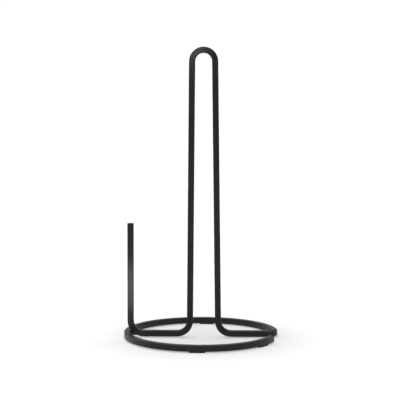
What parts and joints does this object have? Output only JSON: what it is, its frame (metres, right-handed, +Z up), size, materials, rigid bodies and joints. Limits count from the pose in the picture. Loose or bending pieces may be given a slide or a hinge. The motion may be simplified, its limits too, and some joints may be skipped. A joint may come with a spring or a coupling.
{
  "type": "paper towel holder",
  "caption": "Free-standing paper towel holder of black square bar: an open ring base, a tall looped post for the roll and a short upright tear arm at one side.",
  "frame": {"origin": "centre of the base ring, on the surface that the pads rest on", "axes": "+X from the ring's centre along the right arm, away from the tear arm; -Y is the front, where the ring's free end is nearer; +Z up"},
  "size_m": [0.1636, 0.164, 0.308],
  "materials": {
    "black_powder_coat": "matte black powder coat with a fine texture",
    "black_rubber": "matte",
    "adhesive_film": "matte film"
  },
  "bodies": {
    "root": {"ring_bar": "black_powder_coat", "post_loop": "black_powder_coat", "tear_arm": "black_powder_coat", "butt_weld_right": "black_powder_coat", "butt_weld_left": "black_powder_coat", "tack_weld": "black_powder_coat", "pad_front": "black_rubber", "pad_right": "black_rubber", "pad_rear": "black_rubber", "pad_left": "black_rubber", "adhesive_front": "adhesive_film", "adhesive_right": "adhesive_film", "adhesive_rear": "adhesive_film", "adhesive_left": "adhesive_film"}
  },
  "joints": []
}
